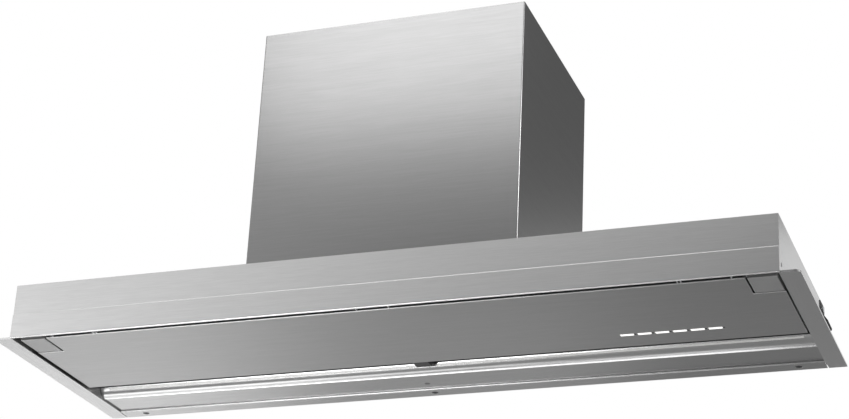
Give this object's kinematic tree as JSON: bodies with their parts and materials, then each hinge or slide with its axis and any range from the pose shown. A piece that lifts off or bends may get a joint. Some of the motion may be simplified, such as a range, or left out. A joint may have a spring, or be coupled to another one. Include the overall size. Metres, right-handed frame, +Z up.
{
  "type": "range hood insert",
  "caption": "Built-in cooker hood: wide flat steel box with a hinged suction panel below, light rail, push keys, grease filters, and a motor turret with a round duct outlet.",
  "frame": {"origin": "centre of the bounding box on the underside of the flanges", "axes": "+X along the long face, +Y from the pictured long face to the flanged far edge, +Z up to the outlet"},
  "size_m": [0.898, 0.284, 0.376],
  "materials": {
    "front_steel": "stainless steel brushed along its length",
    "panel_steel": "stainless steel brushed along its length",
    "case_steel": "satin silver coating on steel sheet",
    "galvanised_steel": "zinc-coated sheet",
    "block_finish": "silver-grey moulded plastic",
    "zinc_steel": "zinc-plated steel",
    "spring_steel": "bare spring steel",
    "black_spring_steel": "blackened spring steel",
    "filter_aluminium": "rolled aluminium",
    "extruded_aluminium": "plain extrusion",
    "opal_plastic": "opal light diffuser",
    "clear_lens": "dark clear lens",
    "white_plastic": "white moulded plastic",
    "black_plastic": "black moulded plastic",
    "fan_plastic": "black flame-retardant moulding",
    "impeller_plastic": "dark grey moulding",
    "circuit_board": "resist-coated board with its parts",
    "motor_steel": "coated motor can"
  },
  "bodies": {
    "hood": {"front_fascia": "front_steel", "front_band": "front_steel", "light_rail": "panel_steel", "rear_flange_strip": "panel_steel", "left_side_panel": "case_steel", "right_side_panel": "case_steel", "rear_panel": "case_steel", "turret_shell": "case_steel", "top_panel": "galvanised_steel", "turret_back": "galvanised_steel", "turret_top": "galvanised_steel", "filter_ledge": "galvanised_steel", "filter_divider": "galvanised_steel", "side_baffles": "galvanised_steel", "motor_bracket": "galvanised_steel", "power_box": "galvanised_steel", "power_lid": "galvanised_steel", "left_hinge_block": "block_finish", "right_hinge_block": "block_finish", "flange_screws": "zinc_steel", "casing_screws": "zinc_steel", "hinge_pins": "zinc_steel", "damper_pin": "zinc_steel", "catch_spring": "spring_steel", "side_clips": "black_spring_steel", "led_profile": "extruded_aluminium", "light_diffuser": "opal_plastic", "sensor_lens": "clear_lens", "panel_catch": "black_plastic", "cable_gland": "black_plastic", "outlet_collar": "black_plastic", "scroll_front": "fan_plastic", "scroll_rear": "fan_plastic", "led_board": "circuit_board", "power_board": "circuit_board", "motor": "motor_steel"},
    "panel": {"suction_panel": "panel_steel", "panel_backing": "galvanised_steel", "panel_stiffeners": "galvanised_steel", "hinge_knuckles": "black_plastic", "panel_tongue": "galvanised_steel", "control_housing": "black_plastic", "control_board": "circuit_board"},
    "blower_wheel": {"impeller": "impeller_plastic", "motor_shaft": "zinc_steel"},
    "front_flap": {"damper_flap_front": "impeller_plastic"},
    "rear_flap": {"damper_flap_rear": "impeller_plastic"},
    "left_filter": {"left_filter_frame": "filter_aluminium", "left_filter_mesh": "filter_aluminium"},
    "right_filter": {"right_filter_frame": "filter_aluminium", "right_filter_mesh": "filter_aluminium"},
    "left_latch": {"left_filter_latch": "black_plastic"},
    "right_latch": {"right_filter_latch": "black_plastic"},
    "button_1": {"key_1": "white_plastic"},
    "button_2": {"key_2": "white_plastic"},
    "button_3": {"key_3": "white_plastic"},
    "button_4": {"key_4": "white_plastic"},
    "button_5": {"key_5": "white_plastic"},
    "button_6": {"key_6": "white_plastic"}
  },
  "joints": [
    {"name": "panel_hinge", "type": "hinge", "parent": "hood", "child": "panel", "pos_m": [0, -0.12, 0.009], "axis": [-1, 0, 0], "range_deg": [0, 85], "deforming": ["catch_spring"]},
    {"name": "wheel_spin", "type": "hinge", "parent": "hood", "child": "blower_wheel", "pos_m": [-0.063, -0.006, 0.165], "axis": [0, 1, 0], "continuous": true},
    {"name": "front_flap_hinge", "type": "hinge", "parent": "hood", "child": "front_flap", "pos_m": [0, -0.006, 0.3553], "axis": [-1, 0, 0], "range_deg": [0, 80]},
    {"name": "rear_flap_hinge", "type": "hinge", "parent": "hood", "child": "rear_flap", "pos_m": [0, -0.006, 0.3553], "axis": [1, 0, 0], "range_deg": [0, 80]},
    {"name": "left_filter_lift", "type": "slide", "parent": "hood", "child": "left_filter", "axis": [0, 0, 1], "range_m": [0, 0.02]},
    {"name": "left_latch_slide", "type": "slide", "parent": "left_filter", "child": "left_latch", "axis": [0, 1, 0], "range_m": [0, 0.005], "stiffness_N_per_m": 300},
    {"name": "right_filter_lift", "type": "slide", "parent": "hood", "child": "right_filter", "axis": [0, 0, 1], "range_m": [0, 0.02]},
    {"name": "right_latch_slide", "type": "slide", "parent": "right_filter", "child": "right_latch", "axis": [0, 1, 0], "range_m": [0, 0.005], "stiffness_N_per_m": 300},
    {"name": "key_1_press", "type": "slide", "parent": "panel", "child": "button_1", "axis": [0, 0, 1], "range_m": [0, 0.001], "stiffness_N_per_m": 400},
    {"name": "key_2_press", "type": "slide", "parent": "panel", "child": "button_2", "axis": [0, 0, 1], "range_m": [0, 0.001], "stiffness_N_per_m": 400},
    {"name": "key_3_press", "type": "slide", "parent": "panel", "child": "button_3", "axis": [0, 0, 1], "range_m": [0, 0.001], "stiffness_N_per_m": 400},
    {"name": "key_4_press", "type": "slide", "parent": "panel", "child": "button_4", "axis": [0, 0, 1], "range_m": [0, 0.001], "stiffness_N_per_m": 400},
    {"name": "key_5_press", "type": "slide", "parent": "panel", "child": "button_5", "axis": [0, 0, 1], "range_m": [0, 0.001], "stiffness_N_per_m": 400},
    {"name": "key_6_press", "type": "slide", "parent": "panel", "child": "button_6", "axis": [0, 0, 1], "range_m": [0, 0.001], "stiffness_N_per_m": 400}
  ]
}
